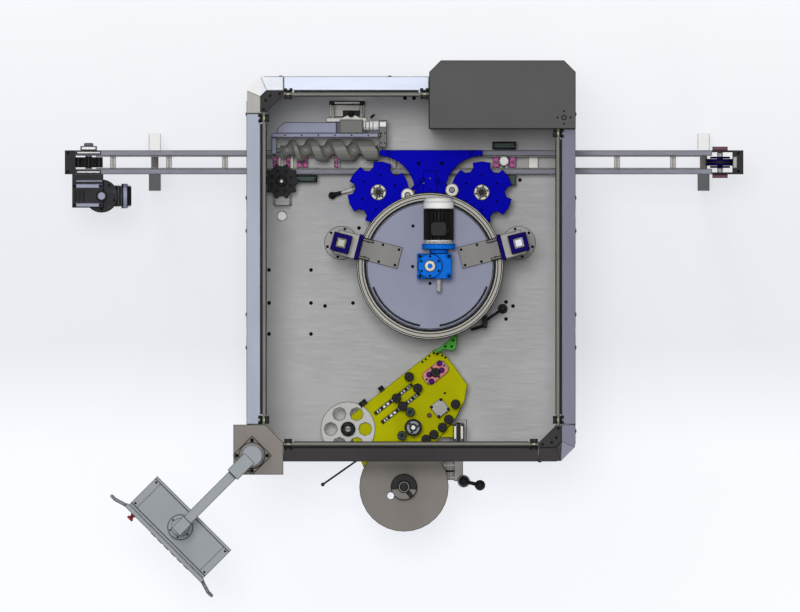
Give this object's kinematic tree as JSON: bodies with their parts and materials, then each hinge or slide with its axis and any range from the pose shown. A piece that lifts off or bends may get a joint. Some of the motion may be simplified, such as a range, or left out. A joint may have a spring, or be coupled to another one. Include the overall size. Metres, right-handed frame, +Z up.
{
  "type": "rotary bottle labelling machine",
  "caption": "Rotary labelling machine: guarded table with carousel, lifting head, transfer stars, timing screw, through conveyor, label unit, control cabinet and arm panel.",
  "frame": {"origin": "floor level, at the middle of the machine's plan", "axes": "+Z up, +X along the conveyor from its drive end to its idler end, +Y towards the cabinet"},
  "size_m": [4.0712, 3.2231, 2.1856],
  "materials": {
    "painted_frame": "satin",
    "steel_sheet": "brushed",
    "guard_sheet": "satin",
    "clear_pane": "clear polycarbonate",
    "dark_grey": "satin",
    "light_steel": "machined",
    "blue_grey": "satin",
    "star_blue": "satin",
    "column_blue": "satin",
    "drive_blue": "satin",
    "black_plastic": "matte",
    "screw_plastic": "matte",
    "plate_yellow": "satin",
    "peeler_green": "satin",
    "reel_grey": "satin",
    "motor_pink": "satin",
    "wheel_navy": "satin",
    "panel_grey": "satin",
    "stop_red": "gloss"
  },
  "bodies": {
    "base": {"base_frame": "painted_frame", "table_plate": "steel_sheet", "rear_left_post": "guard_sheet", "front_left_post": "guard_sheet", "front_right_post": "guard_sheet", "guard_top_rail": "light_steel", "cabinet_shell": "dark_grey", "conveyor_frame": "light_steel", "drive_end_block": "black_plastic", "idler_end_block": "black_plastic", "conveyor_gearbox": "dark_grey", "conveyor_motor": "black_plastic", "screw_slide": "light_steel", "stop_star_bracket": "light_steel", "carousel_pedestal": "light_steel", "column_left": "column_blue", "column_right": "column_blue", "centre_guide": "star_blue", "label_stand": "light_steel", "wipe_brush": "black_plastic", "hmi_mount": "reel_grey"},
    "door_left": {"guard_door_left": "guard_sheet", "window_left": "clear_pane"},
    "door_right": {"guard_door_right": "guard_sheet", "window_right": "clear_pane"},
    "door_front": {"guard_door_front": "guard_sheet", "window_front": "clear_pane"},
    "door_rear": {"guard_door_rear": "guard_sheet", "window_rear": "clear_pane"},
    "cabinet_door": {"cabinet_door": "dark_grey"},
    "main_switch": {"main_switch": "stop_red"},
    "drive_sprocket": {"drive_sprocket": "light_steel"},
    "idler_wheel": {"idler_wheel": "wheel_navy"},
    "screw_unit": {"screw_beam": "blue_grey", "screw_drive": "dark_grey"},
    "infeed_screw": {"infeed_screw": "screw_plastic"},
    "stop_star": {"stop_star": "dark_grey"},
    "carousel": {"carousel_table": "light_steel"},
    "infeed_star": {"infeed_star": "star_blue"},
    "outfeed_star": {"outfeed_star": "star_blue"},
    "head": {"head_cover": "blue_grey", "head_gearbox": "drive_blue", "head_motor": "black_plastic", "head_arm_left": "light_steel", "head_arm_right": "light_steel"},
    "head_rotor": {"head_rotor": "light_steel"},
    "label_unit": {"label_plate": "plate_yellow", "label_motor": "light_steel", "label_drive": "motor_pink", "peeler": "peeler_green"},
    "feed_roller": {"feed_roller": "dark_grey"},
    "unwind_reel": {"unwind_reel": "reel_grey"},
    "rewind_reel": {"rewind_reel": "reel_grey"},
    "dancer": {"dancer_arm": "light_steel"},
    "height_crank": {"height_crank": "black_plastic"},
    "hmi_arm": {"hmi_arm": "panel_grey"},
    "hmi": {"hmi_box": "panel_grey", "hmi_panel": "panel_grey"},
    "emergency_stop": {"emergency_stop": "stop_red"}
  },
  "joints": [
    {"name": "carousel_spin", "type": "hinge", "parent": "base", "child": "carousel", "pos_m": [0.156, 0.372, 0.962], "axis": [0, 0, 1], "continuous": true},
    {"name": "infeed_star_spin", "type": "hinge", "parent": "base", "child": "infeed_star", "pos_m": [-0.154, 0.81415, 0.87], "axis": [0, 0, 1], "continuous": true},
    {"name": "outfeed_star_spin", "type": "hinge", "parent": "base", "child": "outfeed_star", "pos_m": [0.466, 0.81415, 0.87], "axis": [0, 0, 1], "continuous": true},
    {"name": "head_lift", "type": "slide", "parent": "base", "child": "head", "axis": [0, 0, 1], "range_m": [0, 0.12]},
    {"name": "head_rotor_spin", "type": "hinge", "parent": "head", "child": "head_rotor", "pos_m": [0.156, 0.372, 1.45], "axis": [0, 0, 1], "continuous": true},
    {"name": "screw_adjust", "type": "slide", "parent": "base", "child": "screw_unit", "axis": [0, 1, 0], "range_m": [0, 0.03]},
    {"name": "infeed_screw_spin", "type": "hinge", "parent": "screw_unit", "child": "infeed_screw", "pos_m": [-0.742, 1.06715, 1.079], "axis": [1, 0, 0], "continuous": true},
    {"name": "conveyor_drive_spin", "type": "hinge", "parent": "base", "child": "drive_sprocket", "pos_m": [-1.892, 0.99415, 0.915], "axis": [0, 1, 0], "continuous": true},
    {"name": "idler_spin", "type": "hinge", "parent": "base", "child": "idler_wheel", "pos_m": [1.89624, 0.99415, 0.912], "axis": [0, 1, 0], "continuous": true},
    {"name": "stop_star_spin", "type": "hinge", "parent": "base", "child": "stop_star", "pos_m": [-0.735, 0.88115, 1.03], "axis": [0, 0, 1], "continuous": true},
    {"name": "label_unit_lift", "type": "slide", "parent": "base", "child": "label_unit", "axis": [0, 0, 1], "range_m": [0, 0.1]},
    {"name": "height_crank_spin", "type": "hinge", "parent": "base", "child": "height_crank", "pos_m": [0.358, -0.919, 0.926], "axis": [0, 0, 1], "range_deg": [0, 1440]},
    {"name": "feed_roller_spin", "type": "hinge", "parent": "label_unit", "child": "feed_roller", "pos_m": [0.0553, -0.59711, 1.0623], "axis": [0, 0, 1], "continuous": true},
    {"name": "unwind_spin", "type": "hinge", "parent": "label_unit", "child": "unwind_reel", "pos_m": [-0.00004, -0.95369, 1.0623], "axis": [0, 0, 1], "continuous": true},
    {"name": "rewind_spin", "type": "hinge", "parent": "label_unit", "child": "rewind_reel", "pos_m": [-0.336, -0.606, 1.0623], "axis": [0, 0, 1], "continuous": true},
    {"name": "dancer_swing", "type": "hinge", "parent": "label_unit", "child": "dancer", "pos_m": [-0.23731, -0.76375, 1.0923], "axis": [0, 0, 1], "range_deg": [-12, 12], "stiffness_Nm_per_rad": 2},
    {"name": "guard_left_lift", "type": "hinge", "parent": "base", "child": "door_left", "pos_m": [-0.857, 0.354, 2.043], "axis": [0, 1, 0], "range_deg": [0, 85]},
    {"name": "guard_right_lift", "type": "hinge", "parent": "base", "child": "door_right", "pos_m": [0.94124, 0.308, 2.043], "axis": [0, -1, 0], "range_deg": [0, 85]},
    {"name": "guard_front_lift", "type": "hinge", "parent": "base", "child": "door_front", "pos_m": [0.042, -0.713, 2.043], "axis": [-1, 0, 0], "range_deg": [0, 85]},
    {"name": "guard_rear_lift", "type": "hinge", "parent": "base", "child": "door_rear", "pos_m": [-0.285, 1.42115, 2.043], "axis": [1, 0, 0], "range_deg": [0, 85]},
    {"name": "cabinet_door_swing", "type": "hinge", "parent": "base", "child": "cabinet_door", "pos_m": [0.94424, 1.59615, 1.46], "axis": [0, 0, -1], "range_deg": [0, 110]},
    {"name": "main_switch_turn", "type": "hinge", "parent": "cabinet_door", "child": "main_switch", "pos_m": [0.34124, 1.59245, 1.6065], "axis": [0, 1, 0], "range_deg": [0, 90]},
    {"name": "hmi_arm_swing", "type": "hinge", "parent": "base", "child": "hmi_arm", "pos_m": [-0.912, -0.765, 2.1003], "axis": [0, 0, 1], "range_deg": [-45, 45]},
    {"name": "hmi_turn", "type": "hinge", "parent": "hmi_arm", "child": "hmi", "pos_m": [-1.34263, -1.19563, 1.815], "axis": [0, 0, 1], "range_deg": [-90, 90]},
    {"name": "emergency_stop_push", "type": "slide", "parent": "hmi", "child": "emergency_stop", "axis": [0.7071, 0.7071, 0], "range_m": [0, 0.006], "stiffness_N_per_m": 1500}
  ],
  "couplings": [
    {"joint": "infeed_star_spin", "follows": "carousel_spin", "ratio": -2},
    {"joint": "outfeed_star_spin", "follows": "carousel_spin", "ratio": -2},
    {"joint": "head_rotor_spin", "follows": "carousel_spin", "ratio": 1},
    {"joint": "infeed_screw_spin", "follows": "carousel_spin", "ratio": -12},
    {"joint": "idler_spin", "follows": "conveyor_drive_spin", "ratio": 0.96591},
    {"joint": "height_crank_spin", "follows": "label_unit_lift", "rad_per_m": 251.33}
  ]
}
